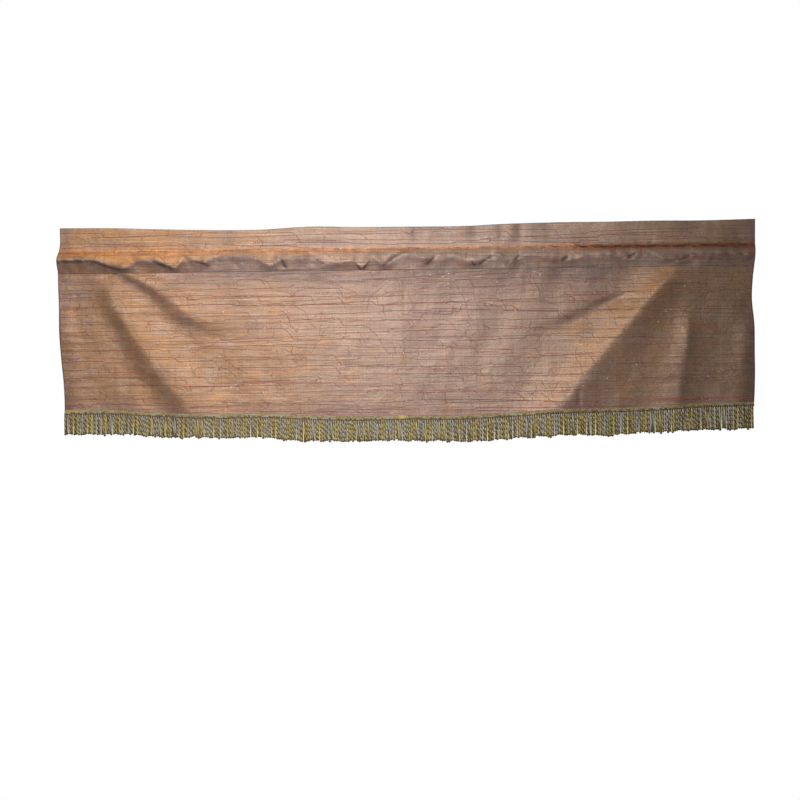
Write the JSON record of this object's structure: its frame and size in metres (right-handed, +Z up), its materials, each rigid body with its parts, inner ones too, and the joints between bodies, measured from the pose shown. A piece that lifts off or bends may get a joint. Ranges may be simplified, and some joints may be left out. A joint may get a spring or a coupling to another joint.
{
  "type": "window valance",
  "caption": "Flat cloth valance with a ruffled heading over an open rod pocket, soft folds falling from both ends and a twisted bullion fringe along its lower edge.",
  "frame": {"origin": "middle of the heading's top edge, in the plane in which the cloth hangs", "axes": "+X along the valance to the viewer's right, +Z up along the line of hang, so that the front faces -Y"},
  "size_m": [1.3747, 0.0274, 0.4319],
  "materials": {
    "strip_cloth": "crushed changeable taffeta, copper shot with mauve grey, with wandering wine-red threads",
    "panel_cloth": "crushed changeable taffeta, copper shot with mauve grey, with wandering wine-red threads",
    "fringe_yarn": "twisted olive, old gold and silver grey yarns"
  },
  "bodies": {
    "root": {"rod_pocket": "strip_cloth", "panel": "panel_cloth", "bullion_fringe": "fringe_yarn"}
  },
  "joints": []
}
